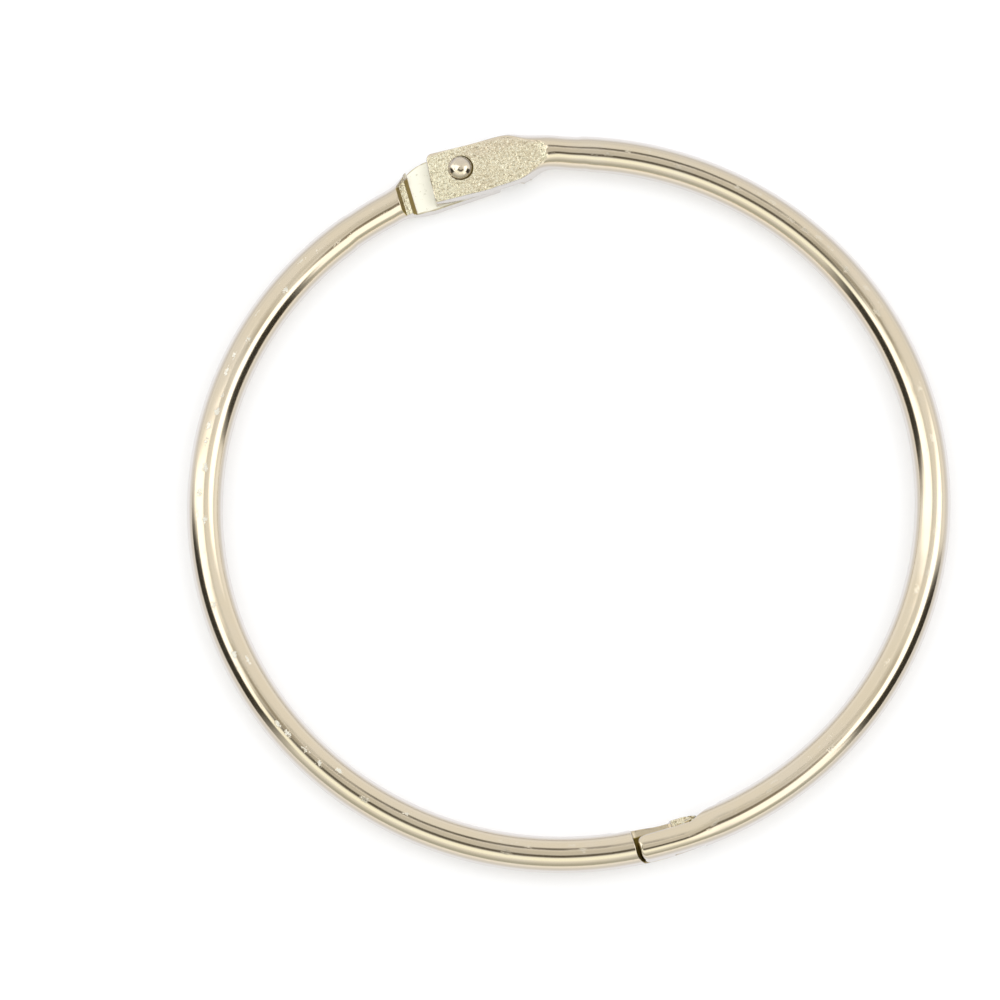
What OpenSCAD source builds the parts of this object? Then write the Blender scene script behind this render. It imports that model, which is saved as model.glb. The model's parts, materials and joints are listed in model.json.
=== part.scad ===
// Hinged binder ring: two half rings of round wire, a rivet that hinges their
// flattened lugs, and a stepped hook latch opposite the rivet.
// The ring lies in the XY plane, with the origin midway between the rivet's axis, at
// +Y, and the middle of the latch, at -Y. The mating plane of the two lugs and of the
// latch is z = 0.

/* [Ring] */
// Distance from the rivet's axis to the wire's middle line at the latch
hinge_span = 72; // [60:1:96]
// Diameter of the round wire
wire_d = 3.6; // [3.4:0.1:4.2]
// How much the bend radius of the right half exceeds half of the hinge span
right_extra_r = 0.1; // [-0.4:0.05:0.6]
// How far the bend centre of the right half is moved to the right
right_shift = 0.8; // [0:0.05:1.2]
// How much the bend radius of the left half exceeds half of the hinge span
left_extra_r = -0.4; // [-0.5:0.05:0.6]
// How far the bend centre of the left half is moved to the left
left_shift = 0.45; // [0:0.05:1.2]

/* [Hinge lug] */
// Thickness of the lug, from the mating plane to its outer face
lug_t = 1.5; // [1.2:0.05:1.6]
// Width of the flattened lug
lug_w = 5.2; // [4.6:0.1:6]
// Reach of the lug past the rivet's axis, to its free end
lug_end = 3.3; // [2.8:0.05:4]
// Full-width length of the lug, from the rivet's axis towards the wire
lug_straight = 4.4; // [3.6:0.1:5.4]
// Length of the lug from the rivet's axis to the tip that runs out into the wire
lug_tip = 8.9; // [8:0.1:11]
// Length over which the lug's middle line is straight, before it bends to the wire
lug_bend = 3; // [2:0.1:4]
// Width of the lug at its tip
tip_w = 1.7; // [1:0.1:1.9]
// Length of the small slope between the lug's outer face and the wire
tip_run = 0.7; // [0.3:0.05:1]
// Radius of the two corners at the free end
lug_corner_r = 0.45; // [0.2:0.05:1]
// Angle between the lug and the X axis
lug_tilt = 2.5; // [1:0.25:5]

/* [Shoulder] */
// Length of the flat mating face, from the rivet's axis to the shoulder
flat_len = 5.55; // [5.1:0.05:6.2]
// Length of the ledge that is stepped into the shoulder
ledge_len = 0.6; // [0.3:0.05:1]
// Depth of the ledge below the mating plane
ledge_drop = 0.75; // [0.4:0.05:1.2]
// Length of each of the two sloping faces of the shoulder
slope_run = 0.45; // [0.2:0.05:0.8]

/* [Rivet] */
// Diameter of the rivet's shank
shank_d = 1.5; // [1:0.1:1.8]
// Diameter of the rivet's heads
head_d = 2.3; // [2:0.1:2.8]
// Height of each head above its seat
head_h = 0.66; // [0.4:0.02:0.9]
// Diameter of the flat on top of each head
head_flat_d = 1; // [0.6:0.1:1.4]
// Depth of the round seat that is sunk into each lug for a head
seat_depth = 0.15; // [0.05:0.05:0.4]
// Distance of the rivet's axis from the lug's middle line, towards the outside
rivet_offset = 0.35; // [0:0.05:0.6]

/* [Latch] */
// Reach of each tongue past the middle of the latch
tongue_len = 3.2; // [2.6:0.1:5]
// Height of the hook teeth above and below the mating plane
tooth_h = 0.3; // [0.15:0.05:0.5]
// Distance from the wire's middle line to the trimmed inner side of the upper tongue
trim_offset = 0.7; // [0.4:0.05:1]
// Length of the trimmed side past the middle of the latch
trim_len = 1.9; // [1.4:0.1:2.5]
// Length over which the trimmed side runs out
trim_run = 1.2; // [0.6:0.1:1.6]
// Height of the lug on the lower tongue that stands beside the upper one
keeper_h = 0.85; // [0.6:0.05:1.1]
// Distance from the middle of the latch to where the keeper reaches its full height
keeper_x = 0.5; // [0.3:0.05:0.9]
// Slope length of the keeper's leading face
keeper_slope = 0.3; // [0.1:0.05:0.3]
// Radius of the upper tongue's inner nose corner
nose_in_r = 0.6; // [0.2:0.05:1]
// Radius of the upper tongue's outer nose corner
nose_out_r = 0.35; // [0.2:0.05:1]

/* [Clearances] */
// Gap between the mating faces of the two lugs
face_gap = 0.05; // [0.02:0.01:0.1]
// Radial clearance of the rivet in the lugs
rivet_play = 0.03; // [0.01:0.01:0.08]
// Gap between the rivet's upper head and its seat
head_gap = 0.03; // [0.01:0.01:0.08]
// Radial gap between a rivet head and the rim of its seat
seat_gap = 0.12; // [0.05:0.01:0.3]
// Gap between the faces of the hook teeth
tooth_gap = 0.06; // [0.02:0.01:0.15]
// Gap between the end of a tongue and the wire that it points at
nose_gap = 0.35; // [0.1:0.05:0.6]

/* [Hidden] */
$fn = 96;

wire_r = wire_d / 2;
right_arc_r = hinge_span / 2 + right_extra_r;
left_arc_r = hinge_span / 2 + left_extra_r;
beyond = 20;       // reach of a cutting shape past what it cuts
outline_steps = 20; // points along the tapering side of the lug
corner_steps = 6;   // straight stretches in each rounded corner of the lug

// Shoulder stations along the lug, from the rivet's axis
ledge_x = flat_len + slope_run;
ledge_end_x = ledge_x + ledge_len;
shoulder_x = ledge_end_x + slope_run;

// Latch stations
shoulder_reach = tongue_len + nose_gap;

// Height of the bend centre above the latch, for a wire that passes through its middle
function centre_rise(arc_r, shift) = sqrt(arc_r * arc_r - shift * shift);

// Height of the wire's middle line at x, both in the lug's own frame
function wire_mid(x, arc_r, shift) =
    let (drop = centre_rise(arc_r, shift) - hinge_span,
         cx = shift * cos(lug_tilt) - drop * sin(lug_tilt),
         cy = shift * sin(lug_tilt) + drop * cos(lug_tilt))
    cy + sqrt(arc_r * arc_r - pow(x - cx, 2));

// Middle line of the lug in its own frame: straight, then bending to meet the wire's
// middle line, which is tip_y high at the lug's tip
function mid(x, tip_y) = -rivet_offset + (x < lug_bend ? 0
    : (tip_y + rivet_offset) * pow((x - lug_bend) / (lug_tip - lug_bend), 2));

// Half width of the lug: full, then an S-shaped taper to the tip
function half_width(x) = x < lug_straight ? lug_w / 2
    : tip_w / 2 + (lug_w - tip_w) / 4
      * (1 + cos(180 * (x - lug_straight) / (lug_tip - lug_straight)));

function side_x(i) = lug_bend + (lug_tip - lug_bend) * i / outline_steps;

function corner(x, y, from) = [for (i = [0:corner_steps])
    [x + lug_corner_r * cos(from + 90 * i / corner_steps),
     y + lug_corner_r * sin(from + 90 * i / corner_steps)]];

// Moves its children from the lug's frame, whose origin is the rivet's axis and whose
// X axis runs towards the wire, to the ring's frame
module on_lug() {
    translate([0, hinge_span / 2, 0]) rotate([0, 0, -lug_tilt]) children();
}

// Moves its children to the latch, with their origin on the wire's middle line
module at_latch() {
    translate([0, -hinge_span / 2, 0]) children();
}

// Extrudes an outline drawn in x and z right across the wire
module across() {
    rotate([90, 0, 0]) linear_extrude(2 * beyond, center = true) children();
}

// Flattened plate of the lug, above the mating plane
module lug_plate(arc_r, shift) {
    inset = lug_w / 2 - lug_corner_r;
    tip_y = wire_mid(lug_tip, arc_r, shift);
    linear_extrude(lug_t)
        polygon(concat(
            corner(lug_corner_r - lug_end, -rivet_offset - inset, 180),
            [for (i = [0:outline_steps]) let (x = side_x(i))
                [x, mid(x, tip_y) - half_width(x)]],
            [for (i = [outline_steps:-1:0]) let (x = side_x(i))
                [x, mid(x, tip_y) + half_width(x)]],
            corner(lug_corner_r - lug_end, -rivet_offset + inset, 90)));
}

// Space above the lug's outer face, sloping up to the wire's crown at the tip
module above_lug() {
    across() polygon([
        [-beyond, lug_t],
        [lug_tip - tip_run, lug_t],
        [lug_tip, wire_r],
        [lug_tip, beyond],
        [-beyond, beyond]]);
}

// Space of the other half's lug, with the stepped shoulder
module below_lug() {
    across() polygon([
        [-beyond, face_gap / 2],
        [flat_len, face_gap / 2],
        [ledge_x, -ledge_drop],
        [ledge_end_x, -ledge_drop],
        [shoulder_x, -wire_r],
        [shoulder_x, -beyond],
        [-beyond, -beyond]]);
}

// Bore for the rivet's shank and round seat for its head
module rivet_hole() {
    cylinder(d = shank_d + 2 * rivet_play, h = 2 * beyond, center = true);
    translate([0, 0, lug_t - seat_depth])
        cylinder(d = head_d + 2 * seat_gap, h = beyond);
}

// Half ring with its lug above the mating plane, before its end is cut for the latch.
// The wire runs from the end of the tongue into the lug.
module half_blank(arc_r, shift) {
    tongue_turn = asin((tongue_len + shift) / arc_r);
    lug_turn = asin((lug_bend - shift) / arc_r);
    difference() {
        union() {
            translate([shift, centre_rise(arc_r, shift) - hinge_span / 2, 0])
                rotate([0, 0, -90 - tongue_turn])
                    rotate_extrude(angle = 180 + tongue_turn - lug_turn)
                        translate([arc_r, 0]) circle(r = wire_r);
            on_lug() lug_plate(arc_r, shift);
        }
        on_lug() above_lug();
        on_lug() below_lug();
        on_lug() rivet_hole();
    }
}

// Everything below the upper tongue's tooth, hook face, neck and shoulder
module below_tongue() {
    across() polygon([
        [-beyond, tooth_gap / 2 - tooth_h],
        [-tooth_gap / 2, tooth_gap / 2 - tooth_h],
        [-tooth_gap / 2, tooth_gap / 2 + tooth_h],
        [shoulder_reach, tooth_gap / 2 + tooth_h],
        [shoulder_reach, -beyond],
        [-beyond, -beyond]]);
}

// Everything above the lower tongue: the same profile, turned half a turn about Y
module above_tongue() {
    rotate([0, 180, 0]) below_tongue();
}

// Space beside the upper tongue, on the inside of the ring, where the keeper stands.
// gap draws the space back from the upper tongue.
module trimmed_side(gap) {
    linear_extrude(2 * beyond, center = true)
        polygon([
            [-beyond, trim_offset + gap],
            [trim_len - gap, trim_offset + gap],
            [trim_len - gap + trim_run, wire_r],
            [trim_len - gap + trim_run, wire_d],
            [-beyond, wire_d]]);
}

// Rounded-off corners of the upper tongue's nose
module nose_corner(radius, y, side) {
    x = radius - tongue_len;
    difference() {
        translate([x - beyond, side > 0 ? y - radius : y + radius - beyond, -beyond])
            cube([beyond, beyond, 2 * beyond]);
        translate([x, y - side * radius, 0])
            cylinder(r = radius, h = 3 * beyond, center = true);
    }
}

// Upright stop on the lower tongue that keeps the upper one from moving inwards
module keeper() {
    intersection() {
        across() polygon([
            [keeper_x - keeper_slope, -tooth_h],
            [keeper_x, keeper_h],
            [beyond, keeper_h],
            [beyond, -tooth_h]]);
        trimmed_side(tooth_gap);
    }
}

module left_half_ring() {
    color([0.76, 0.72, 0.62])
    difference() {
        rotate([0, 180, 0]) half_blank(left_arc_r, left_shift);
        at_latch() difference() {
            above_tongue();
            keeper();
        }
    }
}

module right_half_ring() {
    color([0.78, 0.74, 0.64])
    difference() {
        half_blank(right_arc_r, right_shift);
        at_latch() {
            below_tongue();
            trimmed_side(0);
            nose_corner(nose_in_r, trim_offset, 1);
            nose_corner(nose_out_r, -wire_r, -1);
        }
    }
}

// Rivet head: a dome with a flat top, standing on z = 0
module rivet_head() {
    rim_r = head_d / 2;
    top_r = head_flat_d / 2;
    // Height of the sphere's centre, from a sphere through the rim and the flat's edge
    centre_z = (top_r * top_r + head_h * head_h - rim_r * rim_r) / (2 * head_h);
    intersection() {
        translate([0, 0, centre_z])
            sphere(r = sqrt(rim_r * rim_r + centre_z * centre_z));
        cylinder(r = rim_r, h = head_h);
    }
}

module hinge_rivet() {
    seat_z = lug_t - seat_depth;
    color([0.8, 0.77, 0.7])
    translate([0, hinge_span / 2, 0]) {
        translate([0, 0, -seat_z]) cylinder(d = shank_d, h = 2 * seat_z + head_gap);
        translate([0, 0, seat_z + head_gap]) rivet_head();
        translate([0, 0, -seat_z]) rotate([180, 0, 0]) rivet_head();
    }
}

left_half_ring();
right_half_ring();
hinge_rivet();
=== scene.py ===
"""Binder ring: two half rings of polished nickel plated wire with coined hinge lugs, the
domed rivet that joins them, and a small studio.

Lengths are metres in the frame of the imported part, where the ring lies in the XY plane,
the hinge is at +Y and the latch at -Y. The shape functions work in millimetres.
"""
import json
import math
from functools import reduce
import bmesh
import bpy
import numpy as np
from bpy.props import FloatProperty, FloatVectorProperty, PointerProperty
from mathutils import Matrix, Vector


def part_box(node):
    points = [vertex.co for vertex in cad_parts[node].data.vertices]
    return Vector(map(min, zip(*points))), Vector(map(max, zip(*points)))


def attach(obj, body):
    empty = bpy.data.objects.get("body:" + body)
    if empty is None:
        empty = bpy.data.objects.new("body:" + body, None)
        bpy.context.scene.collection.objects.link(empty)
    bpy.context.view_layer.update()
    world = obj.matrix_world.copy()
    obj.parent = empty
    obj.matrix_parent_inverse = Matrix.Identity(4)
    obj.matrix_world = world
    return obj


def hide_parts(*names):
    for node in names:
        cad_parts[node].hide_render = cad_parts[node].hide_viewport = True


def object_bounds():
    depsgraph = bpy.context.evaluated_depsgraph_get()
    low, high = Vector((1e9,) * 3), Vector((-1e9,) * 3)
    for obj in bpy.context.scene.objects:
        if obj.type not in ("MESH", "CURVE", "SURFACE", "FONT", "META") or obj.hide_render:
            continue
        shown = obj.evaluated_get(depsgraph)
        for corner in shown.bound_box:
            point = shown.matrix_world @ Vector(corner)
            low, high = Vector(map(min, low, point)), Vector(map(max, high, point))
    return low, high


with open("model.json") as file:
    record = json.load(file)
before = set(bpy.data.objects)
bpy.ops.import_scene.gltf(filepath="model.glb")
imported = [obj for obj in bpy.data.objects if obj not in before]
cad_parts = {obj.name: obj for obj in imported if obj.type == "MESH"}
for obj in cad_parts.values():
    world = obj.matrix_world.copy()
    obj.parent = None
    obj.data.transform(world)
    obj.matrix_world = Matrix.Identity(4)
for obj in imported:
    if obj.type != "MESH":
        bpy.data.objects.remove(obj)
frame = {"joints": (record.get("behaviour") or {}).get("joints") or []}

bl_info = {
    "name": "Binder ring",
    "version": (1, 0, 0),
    "blender": (4, 5, 0),
    "location": "View3D > Sidebar > Binder Ring",
    "description": "Builds a hinged binder ring with its finishes and studio",
    "category": "Add Mesh",
}

CAD_BOX = [list(corner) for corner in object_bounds()]
HINGE = Vector(frame["joints"][0]["pos_m"])
RIVET_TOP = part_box("hinge_rivet")[1].z
MM = 1000.0
COLUMNS = 160       # grid columns round a section
FAN = 13            # columns in each quarter turn at a lug's side
FLAT = 54           # columns across each face of a lug
CELL = 4.0 / FLAT   # spacing of the grid on a lug, in millimetres
RIVET_COLUMN = 22   # columns between the lug's outer fan and the rivet's axis
BORE_CELLS = 7      # cells from the rivet's axis to the bore
SEAT_CELLS = 14     # cells from the rivet's axis to just past the seat's rim
WIDE_CELLS = 21     # cells from the rivet's axis to where the grid is square again
LATCH_END = 5.2     # end of the latch rows, from the latch's middle, in millimetres
LUG_START = 12.4    # start of the lug rows, from the rivet's axis, in millimetres
CORE_Z = 0.76       # height inside a lug from which its rays start, in millimetres
RAY_LENGTH = 6.0    # longest ray, in millimetres
SOLVER_STEPS = 34   # halvings of a ray
END_ROUNDING = 0.16  # length of the rounding at the nose and at the lug's end, in millimetres
WIRE_ROWS = 205     # rows along the bend, with its two ends
CAP_ROWS = 12       # rows that close each end of a half ring
RIVET_TURN = 96     # points round the rivet
NOISE_TABLE = 256   # random heights along each side of the noise's lattice


# ---------------------------------------------------------------- properties

def length(text, note, default):
    """A length in metres with its name, description and default."""
    return FloatProperty(name=text, description=note, default=default, unit="LENGTH",
                         precision=5)


def lengths(text, note, *default):
    """Several lengths in metres under one name."""
    return FloatVectorProperty(name=text, description=note, size=len(default),
                               subtype="NONE", default=default, precision=5)


def angle(text, note, default):
    """An angle, with its default in degrees."""
    return FloatProperty(name=text, description=note, default=math.radians(default),
                         unit="ROTATION")


def colour(text, note, *default):
    """A colour, with its default in linear red, green and blue."""
    return FloatVectorProperty(name=text, description=note, subtype="COLOR", size=3,
                               default=default)


def factor(text, note, default):
    """A plain factor from 0 to 1."""
    return FloatProperty(name=text, description=note, default=default, subtype="FACTOR")


class WireSizes(bpy.types.PropertyGroup):
    """Sizes of the round wire and of its two bends."""
    diameter: length("Wire diameter", "Diameter of the round wire", 0.0036)
    right_radius: length("Right bend radius", "Middle-line radius of the right half", 0.0361)
    right_shift: length("Right bend shift", "Offset of the right bend's centre", 0.0008)
    left_radius: length("Left bend radius", "Middle-line radius of the left half", 0.0356)
    left_shift: length("Left bend shift", "Offset of the left bend's centre", 0.00045)


class LugSizes(bpy.types.PropertyGroup):
    """Sizes of the hinge lugs and of the left half's shoulder."""
    thickness: length("Lug thickness", "From the mating plane to the coined face", 0.0015)
    width: length("Lug width", "Width of the flattened lug", 0.0052)
    end_reach: length("End reach", "From the rivet's axis to the lug's free end", 0.0033)
    tip: length("Tip reach", "From the rivet's axis to the tip on the wire", 0.0089)
    tip_run: length("Tip slope", "Length of the slope from the coined face to the wire", 0.0006)
    offset: length("Middle-line offset", "From the rivet's axis to the lug's middle", 0.00035)
    flat: length("Mating face", "Length of the smooth face before the shoulder", 0.00551)
    ledge: length("Ledge length", "Length of the ledge in the shoulder", 0.00062)
    ledge_drop: length("Ledge drop", "Depth of the ledge from the mating plane", 0.00075)
    slope: length("Shoulder slope", "Length of each riser of the shoulder", 0.00046)
    lean: angle("Shoulder lean", "Angle of the shoulder to the lug's cross line", 3.15)
    strip: length("Outer strip", "From the lug's middle line to the shoulder's outer end",
                  0.00129)
    face_gap: length("Face gap", "Gap between the two mating faces", 0.00005)
    relief: length("Coined relief", "Height of the grain that the die leaves", 0.00004)
    outward: length("Right swell", "How far the right lug swells outwards", 0.00033)
    right_span: lengths("Right taper", "Where the right lug starts and ends its taper, and "
                        "where its middle line leaves the straight and joins the wire",
                        0.0052, 0.0090, 0.0065, 0.0110)
    left_span: lengths("Left taper", "The same four places on the left lug",
                       0.0032, 0.0076, 0.0028, 0.0082)
    tilt: angle("Lug tilt", "Angle of the lug to the X axis", 2.5)


class LatchSizes(bpy.types.PropertyGroup):
    """Sizes of the latch tongues and of the keeper."""
    tongue: length("Tongue reach", "Reach of a tongue past the latch's middle", 0.00333)
    shoulder: length("Shoulder reach", "Where the other tongue's nose points", 0.0037)
    tooth: length("Tooth height", "Height of the hook teeth", 0.0003)
    gap: length("Tooth gap", "Gap between the hook faces", 0.00006)
    trim: length("Trimmed side", "From the middle line to the trimmed inner side", 0.0008)
    trim_end: length("Trim length", "Length of the trimmed side past the middle", 0.00235)
    trim_run: length("Trim run-out", "Length over which the trimmed side runs out", 0.003)
    skew: length("Tongue skew", "How far the upper tongue's crown leans outwards", 0.00042)
    keeper_height: length("Keeper height", "Height of the keeper", 0.00085)
    keeper_front: length("Keeper front", "From the latch's middle to the keeper", 0.0005)


class RivetSizes(bpy.types.PropertyGroup):
    """Sizes of the rivet and of its seats."""
    shank: length("Shank diameter", "Diameter of the rivet's shank", 0.0015)
    head: length("Head diameter", "Diameter of the two heads", 0.00238)
    height: length("Head height", "Height of a head above its seat", 0.00066)
    seat_depth: length("Seat depth", "Depth of the round seat in the lug", 0.00015)
    seat_gap: length("Seat gap", "Gap round a head in its seat", 0.00009)
    play: length("Rivet play", "Gap round the shank", 0.00003)
    lean: lengths("Head lean", "Offset of the upper head from the axis in X and Y",
                  -0.00006, 0.000062)
    blow_tilt: angle("Blow tilt", "Angle of the two slanted flats on the upper head", 24.064)
    first_turn: angle("First blow", "Direction of the first flat, from +Y towards +X", 16.616)
    first_radius: length("First flat", "Radius of the first flat", 0.00054)
    second_turn: angle("Second blow", "Direction of the second flat, from +Y towards +X", -78)
    second_radius: length("Second flat", "Radius of the second flat", 0.00036)


class Finish(bpy.types.PropertyGroup):
    """Colours and roughness of the plating, with the painted shade and painted reflection that
    follow the viewing angle, and the painted shade of the gaps.
    """
    plate: colour("Nickel plate", "Colour of the plating", 0.86, 0.745, 0.555)
    worn: colour("Worn plate", "Colour of rubbed places", 0.85, 0.75, 0.59)
    # painted shade: darkens the metal where its surface turns away from the view, standing in for
    # the dim reflections on the wire's flanks
    painted_flank_shade: colour("Oblique tone", "Colour where the surface turns away", 0.57, 0.51, 0.425)
    # painted reflection: a pale grey at grazing angles, standing in for the floor's light on the
    # edges
    edge: colour("Grazing tone", "Colour at grazing angles", 0.72, 0.69, 0.67)
    # painted shade, thin and thick: dark browns that stand in for the shade on the shoulder's
    # risers, in the rivet's seat and in the latch's gap
    painted_shade: colour("Grime", "Colour of thin grime", 0.36, 0.275, 0.085)
    deep_painted_shade: colour("Deep grime", "Colour of thick grime", 0.17, 0.12, 0.03)
    wire_roughness: factor("Wire roughness", "Roughness of the polished wire", 0.13)
    coin_roughness: factor("Coined roughness", "Roughness of the coined faces", 0.27)


class Studio(bpy.types.PropertyGroup):
    """Camera, floor and overhead panel."""
    tilt: FloatVectorProperty(name="Camera turn", description="Turns about X, Y and Z",
                              subtype="EULER", size=3,
                              default=tuple(math.radians(a) for a in (-14.94, -0.54, 16.76)))
    aim: FloatVectorProperty(name="Camera place", description="Place in the camera's axes",
                             subtype="XYZ", size=3, default=(-0.0064, -0.00007, 0.5))
    lens: FloatProperty(name="Lens", description="Focal length in millimetres", default=180.0)
    floor_size: length("Floor size", "Length of the floor's sides", 6.0)
    panel_size: length("Panel size", "Length of the overhead panel's sides", 1.2)
    panel_height: length("Panel height", "Height of the panel above the ring", 0.7)
    panel_power: FloatProperty(name="Panel power", description="Power of the overhead panel",
                               default=2.9, unit="POWER")


# ---------------------------------------------------------------- shape functions

def smooth_max(a, b, k):
    """The larger of a and b, rounded over the width k where they are nearly equal."""
    h = np.maximum(k - np.abs(a - b), 0.0) / k
    return np.maximum(a, b) + h * h * k / 4


def smooth_min(a, b, k):
    """The smaller of a and b, rounded over the width k where they are nearly equal."""
    return -smooth_max(-a, -b, k)


def ease(low, high, x):
    """0 below low, 1 above high, with the cubic 3t^2 - 2t^3 between them."""
    t = np.clip((x - low) / (high - low), 0.0, 1.0)
    return t * t * (3 - 2 * t)


def lattice_noise(u, v, seed):
    """Smooth noise between -1 and 1: random heights on a unit lattice over u and v,
    joined by the quintic 6t^5 - 15t^4 + 10t^3."""
    table = np.random.default_rng(seed).uniform(-1, 1, (NOISE_TABLE, NOISE_TABLE))
    i, j = np.floor(u).astype(int), np.floor(v).astype(int)
    s, t = u - i, v - j
    s, t = (w ** 3 * (w * (w * 6 - 15) + 10) for w in (s, t))
    i, j = i % NOISE_TABLE, j % NOISE_TABLE
    i1, j1 = (i + 1) % NOISE_TABLE, (j + 1) % NOISE_TABLE
    return ((table[i, j] * (1 - s) + table[i1, j] * s) * (1 - t)
            + (table[i, j1] * (1 - s) + table[i1, j1] * s) * t)


class HalfRing:
    """Numbers of one half ring, in millimetres, in its own frame: the hinge lug's body is
    above the mating plane z = 0 and the wire curves round on the +X side. The wire of radius
    wire_r is bent to the radius bend_r about the point (bend_x, bend_y), hinge and latch lie
    half_span above and below the origin, and the lug's frame has its origin on the rivet's
    axis, with x along the lug towards the wire and y outwards."""

    def __init__(self, props, right):
        wire, lug, latch, rivet = props
        self.right = right
        self.wire_r = wire.diameter * MM / 2
        self.bend_r = (wire.right_radius if right else wire.left_radius) * MM
        self.bend_x = (wire.right_shift if right else wire.left_shift) * MM
        self.half_span = HINGE.y * MM
        self.bend_y = math.sqrt(self.bend_r ** 2 - self.bend_x ** 2) - self.half_span
        self.tilt, self.lean = lug.tilt, math.tan(lug.lean)
        for group in (lug, latch):          # every length, under its own name
            for name, value in group.bl_rna.properties.items():
                if value.type == "FLOAT" and value.unit == "LENGTH" and not value.is_array:
                    setattr(self, name, getattr(group, name) * MM)
        self.taper_start, self.taper_end, self.mid_start, self.mid_end = (
            v * MM for v in (lug.right_span if right else lug.left_span))
        self.outward *= right               # only the right lug swells
        self.ledge_start = self.flat + self.slope
        self.ledge_end = self.ledge_start + self.ledge
        self.low_rise = self.wire_r - self.ledge_drop
        self.bore = (rivet.shank / 2 + rivet.play) * MM
        self.seat = (rivet.head / 2 + rivet.seat_gap) * MM
        self.seat_depth = rivet.seat_depth * MM
        drop = self.bend_y - self.half_span
        c, s = math.cos(self.tilt), math.sin(self.tilt)
        self.lug_cx, self.lug_cy = self.bend_x * c - drop * s, self.bend_x * s + drop * c

    def wire_mid(self, x):
        """Height of the wire's middle line in the lug's frame, on the circle of the bend."""
        return self.lug_cy + np.sqrt(self.bend_r ** 2 - (x - self.lug_cx) ** 2)

    def lug_mid(self, x):
        """Middle line of the lug: straight, eased over to the wire, with a swell outwards."""
        join = ease(self.mid_start, self.mid_end, x)
        swell = self.outward * ease(1.0, 7.5, x) * ease(12.2, 7.8, x)
        return -self.offset * (1 - join) + self.wire_mid(x) * join + swell

    def lug_half_width(self, x):
        """Half width of the lug, eased down to the wire's radius."""
        share = ease(self.taper_end, self.taper_start, x)
        return self.wire_r + (self.width / 2 - self.wire_r) * share

    def side_power(self, x, outer):
        """Power of the section's outline: 10 on the flattened lug, where the sides stand
        upright, eased down to 2 on the round wire."""
        if not self.right:
            return 2 + 8 * ease(7.6, 4.0, x) ** 2
        return 2 + 8 * np.where(outer, ease(8.5, 2.5, x), ease(10.8, 3.5, x)) ** 2

    def face_edge(self, x):
        """Outer edge of the coined face; past it the lug's side is smooth and rounded."""
        if not self.right:
            return np.full_like(x, 9.0)
        return np.interp(x, [-3, 0, 3, 5, 6.5, 7.5, 8.3, 8.9],
                         [1.87, 2.2, 2.03, 1.95, 1.5, 1.0, 0.62, 0.42])

    def shoulder_x(self, x, y):
        """Place along the lug as the shoulder counts it: x plus y times the lean."""
        return x + self.lean * (y + 0.75)

    def strip_edge(self, x):
        """Outer end of the left shoulder, past which the wire stays whole: a slanted line that
        starts at the mating face."""
        if self.right:
            return np.full_like(x, 9.0)
        return self.strip - 0.7 * (x - 5.4) + 3 * np.maximum(5.45 - x, 0)

    def from_lug(self, x, y):
        """Lug frame to the half's own frame: turned by the tilt about the rivet's axis."""
        c, s = math.cos(self.tilt), math.sin(self.tilt)
        return x * c + y * s, self.half_span - x * s + y * c

    def to_lug(self, x, y):
        """The half's own frame to the lug frame: turned back about the rivet's axis."""
        c, s = math.cos(self.tilt), math.sin(self.tilt)
        y = y - self.half_span
        return x * c - y * s, x * s + y * c

    def tube(self, x, y, z):
        """Distance to the bent wire, a torus: the hypotenuse of the distance from the bend's
        circle in the plane and of z, less the wire's radius."""
        ring = np.hypot(x - self.bend_x, y - self.bend_y) - self.bend_r
        return np.hypot(ring, z) - self.wire_r

    def grain(self, x, y):
        """Height of the coined grain: bumps of three sizes less the creases between them."""
        coarse = lattice_noise(x / 0.56, y / 0.36, 11)
        middle = lattice_noise(x / 0.25, y / 0.20, 14)
        fine = lattice_noise(x / 0.15, y / 0.15, 12)
        crease = np.abs(lattice_noise(x / 0.34 + 7, y / 0.28 + 3, 13))
        return self.relief * (0.7 * coarse + 0.6 * middle + 0.45 * fine - 0.6 * crease)

    def riser(self, across, z, start, top, rise):
        """Distance in front of a riser of the shoulder: a plane that leaves the height top at
        start and falls by rise over the length of the slope."""
        return ((across - start) * rise + (z - top) * self.slope) / math.hypot(self.slope, rise)

    def lug_solid(self, x, y, z):
        """Signed depth of the lug end, with x along the lug from the rivet's axis: a section
        |y/a|^p + |z/r|^p = 1, cut off at the free end, below the coined face with its slope
        and grain, and above the mating face, the two risers and the ledge between them."""
        dy = y - self.lug_mid(x)
        power = self.side_power(x, dy > 0)
        body = self.wire_r * ((np.abs(dy / self.lug_half_width(x)) ** power
                               + np.abs(z / self.wire_r) ** power) ** (1 / power) - 1)
        end = -self.end_reach + 0.02 + 0.045 * y - x
        body = smooth_max(body, end, np.where(dy > 0, 0.6, 0.3))
        slope = np.maximum(x - (self.tip - self.tip_run), 0) * (self.wire_r - self.thickness)
        beyond = y - self.face_edge(x)
        coin = ease(self.tip + 0.1, self.tip - 0.2, x) * ease(0.1, -0.2, beyond)
        lift = 0.35 * ease(0.0, 0.35, beyond) * ease(6.2, 8.2, x)   # the outer side, by the wire
        top = self.thickness + slope / self.tip_run + self.grain(x, y) * coin + lift
        body = smooth_max(body, z - top, 0.12)
        across = self.shoulder_x(x, y)
        first = self.riser(across, z, self.flat, -self.face_gap / 2,
                           self.ledge_drop + self.face_gap / 2)
        second = self.riser(across, z, self.ledge_end, -self.ledge_drop, self.low_rise)
        ledge = -self.ledge_drop + 1.4 * self.grain(x * 1.3 + 5, y * 1.3)
        away = smooth_min(smooth_max(z - self.face_gap / 2, first, 0.03),
                          smooth_max(z - ledge, second, 0.05), 0.05)
        away = smooth_max(away, y - self.strip_edge(x), 0.1)
        return smooth_max(body, -away, 0.05)

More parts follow.
